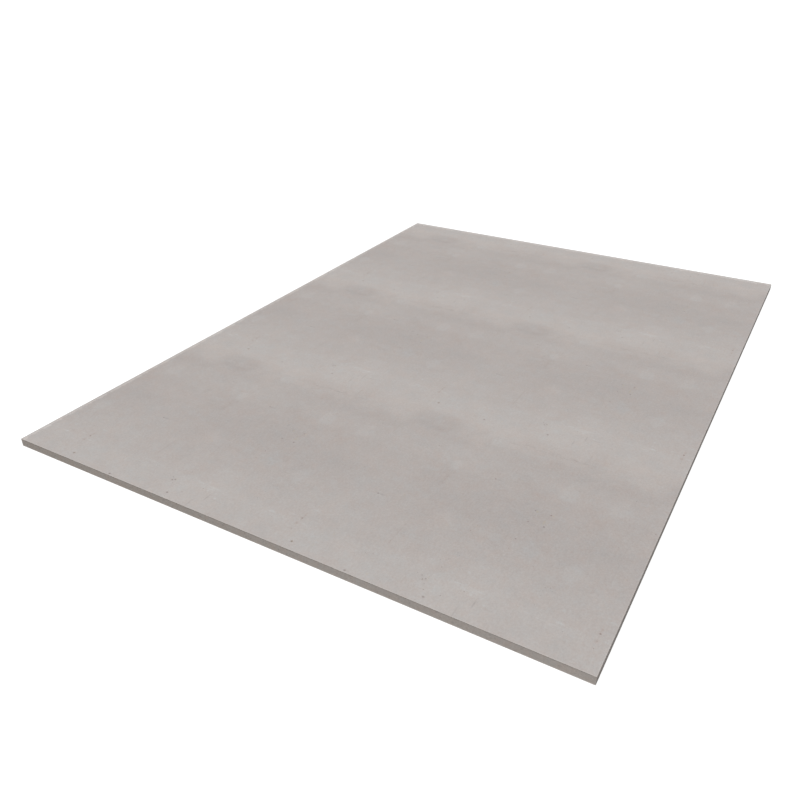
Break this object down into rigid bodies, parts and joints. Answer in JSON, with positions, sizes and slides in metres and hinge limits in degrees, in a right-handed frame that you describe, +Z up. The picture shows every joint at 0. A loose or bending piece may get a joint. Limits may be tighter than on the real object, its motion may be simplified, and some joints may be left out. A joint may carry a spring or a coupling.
{
  "type": "roofing cover board",
  "caption": "Flat rectangular fibre-cement sheet with square edges, laid between a roof deck or insulation and the waterproofing.",
  "frame": {"origin": "centre of the underside, on the surface the board lies on", "axes": "+X along the length, parallel to the two formed edges; +Y across the width; +Z up, out of the face"},
  "size_m": [1.25, 0.9, 0.0125],
  "materials": {
    "cement": "matte"
  },
  "bodies": {
    "root": {"cover_board": "cement"}
  },
  "joints": []
}
